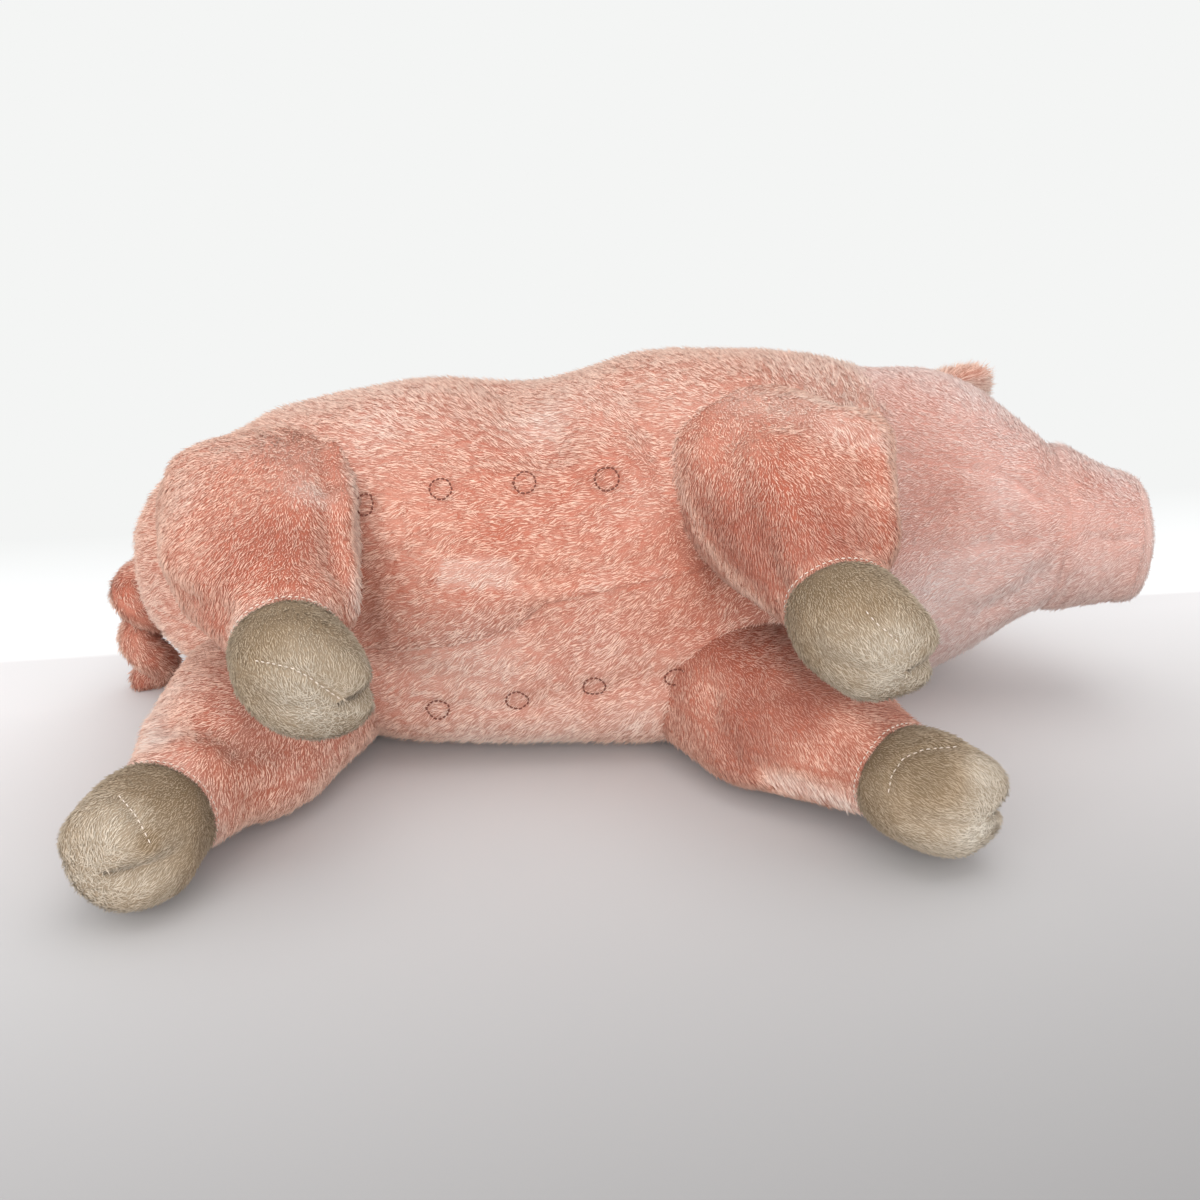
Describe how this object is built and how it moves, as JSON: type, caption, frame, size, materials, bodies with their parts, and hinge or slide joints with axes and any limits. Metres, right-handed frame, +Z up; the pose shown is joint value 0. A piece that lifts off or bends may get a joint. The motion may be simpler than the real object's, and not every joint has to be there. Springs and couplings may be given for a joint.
{
  "type": "plush pig",
  "caption": "Stuffed plush pig lying on its side, with a jointed head, ears, legs with cloven hooves and a curly tail.",
  "frame": {"origin": "on the surface the pig lies on, under the middle of its bounding box", "axes": "+X towards the snout, -Y towards the belly and hooves, +Z up, which is the pig's right side"},
  "size_m": [0.4736, 0.2882, 0.1611],
  "materials": {
    "pink_plush": "soft short-pile plush",
    "pale_pink_plush": "short-pile plush, paler",
    "taupe_plush": "very short-pile plush",
    "polyester_fibre": "loose hollow fibre",
    "black_plastic": "polished",
    "white_plastic": "moulded"
  },
  "bodies": {
    "trunk": {"trunk_right_panel": "pink_plush", "trunk_left_panel": "pink_plush", "trunk_stuffing": "polyester_fibre"},
    "head": {"head_cover": "pink_plush", "snout_cover": "pink_plush", "nose_pad": "pale_pink_plush", "head_stuffing": "polyester_fibre", "eye_right": "black_plastic", "eye_left": "black_plastic", "eye_washer_right": "white_plastic", "eye_washer_left": "white_plastic"},
    "ear_right": {"ear_right": "pink_plush"},
    "ear_left": {"ear_left": "pink_plush"},
    "tail": {"tail": "pink_plush"},
    "leg_right_hind": {"leg_cover_right_hind": "pink_plush", "hoof_right_hind": "taupe_plush", "leg_stuffing_right_hind": "polyester_fibre"},
    "leg_left_hind": {"leg_cover_left_hind": "pink_plush", "hoof_left_hind": "taupe_plush", "leg_stuffing_left_hind": "polyester_fibre"},
    "leg_right_front": {"leg_cover_right_front": "pink_plush", "hoof_right_front": "taupe_plush", "leg_stuffing_right_front": "polyester_fibre"},
    "leg_left_front": {"leg_cover_left_front": "pink_plush", "hoof_left_front": "taupe_plush", "leg_stuffing_left_front": "polyester_fibre"}
  },
  "joints": [
    {"name": "neck_nod", "type": "hinge", "parent": "trunk", "child": "head", "pos_m": [0.1388, 0.07761, 0.0735], "axis": [0, 0, 1], "range_deg": [-15, 15], "stiffness_Nm_per_rad": 0.3},
    {"name": "ear_right_flop", "type": "hinge", "parent": "head", "child": "ear_right", "pos_m": [0.1368, 0.11915, 0.11964], "axis": [0, -0.7431, 0.6691], "range_deg": [-12, 40], "stiffness_Nm_per_rad": 0.01},
    {"name": "ear_left_flop", "type": "hinge", "parent": "head", "child": "ear_left", "pos_m": [0.1368, 0.11915, 0.02736], "axis": [0, 0.7431, 0.6691], "range_deg": [-12, 40], "stiffness_Nm_per_rad": 0.01},
    {"name": "leg_right_hind_swing", "type": "hinge", "parent": "trunk", "child": "leg_right_hind", "pos_m": [-0.15218, 0.00881, 0.1029], "axis": [0.0797, -0.2313, 0.9696], "range_deg": [-25, 20], "stiffness_Nm_per_rad": 0.08},
    {"name": "leg_left_hind_swing", "type": "hinge", "parent": "trunk", "child": "leg_left_hind", "pos_m": [-0.13766, 0.00361, 0.032], "axis": [-0.0125, -0.0541, 0.9985], "range_deg": [-15, 40], "stiffness_Nm_per_rad": 0.08},
    {"name": "leg_right_front_swing", "type": "hinge", "parent": "trunk", "child": "leg_right_front", "pos_m": [0.05869, 0.00881, 0.1185], "axis": [0.0659, -0.3101, 0.9484], "range_deg": [-20, 25], "stiffness_Nm_per_rad": 0.08},
    {"name": "leg_left_front_swing", "type": "hinge", "parent": "trunk", "child": "leg_left_front", "pos_m": [0.04879, -0.00159, 0.0337], "axis": [0.0367, -0.0565, 0.9977], "range_deg": [-40, 15], "stiffness_Nm_per_rad": 0.08},
    {"name": "tail_wag", "type": "hinge", "parent": "trunk", "child": "tail", "pos_m": [-0.2147, 0.06361, 0.05775], "axis": [0, 0, 1], "range_deg": [-15, 15], "stiffness_Nm_per_rad": 0.01}
  ]
}
